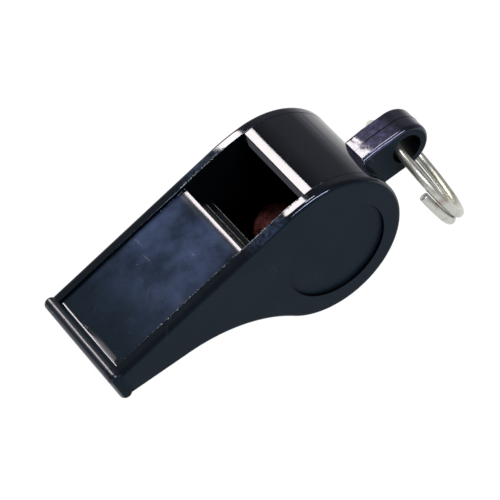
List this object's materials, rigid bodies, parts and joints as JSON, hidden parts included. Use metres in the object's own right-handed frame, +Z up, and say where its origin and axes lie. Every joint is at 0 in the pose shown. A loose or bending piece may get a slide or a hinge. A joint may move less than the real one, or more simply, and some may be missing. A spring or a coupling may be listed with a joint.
{
  "type": "pea whistle",
  "caption": "Black moulded pea whistle with a sloping mouthpiece, a windway over a block, a round barrel holding a cork pea, and a split ring in its lanyard lug.",
  "frame": {"origin": "centre of the bounding box's bottom face, on the surface that the whistle lies on", "axes": "+Z up; +X from the lip to the lug, along the length; +Y to the whistle's left side, along the barrel's axis. The whistle lies nose down on the underside of its barrel and its lower lip"},
  "size_m": [0.0644, 0.0194, 0.024],
  "materials": {
    "black_plastic": "satin black moulded plastic with fine scuffs",
    "glossy_black_plastic": "glossy black moulded plastic with fine scratches",
    "cork": "dry reddish-brown cork",
    "nickel_plate": "bright nickel plate on spring wire"
  },
  "bodies": {
    "shell": {"barrel_body": "black_plastic", "mouthpiece_top_plate": "glossy_black_plastic", "windway_block": "black_plastic", "right_side_plate": "black_plastic", "left_side_plate": "black_plastic", "lanyard_lug": "black_plastic"},
    "pea": {"cork_pea": "cork"},
    "ring": {"split_ring": "nickel_plate"}
  },
  "joints": [
    {"name": "pea_whirl", "type": "hinge", "parent": "shell", "child": "pea", "pos_m": [0.00409, 0, 0.012], "axis": [0, 1, 0], "continuous": true},
    {"name": "ring_swing", "type": "hinge", "parent": "shell", "child": "ring", "pos_m": [0.02042, 0, 0.01793], "axis": [0, -1, 0], "range_deg": [-42, 197]}
  ]
}
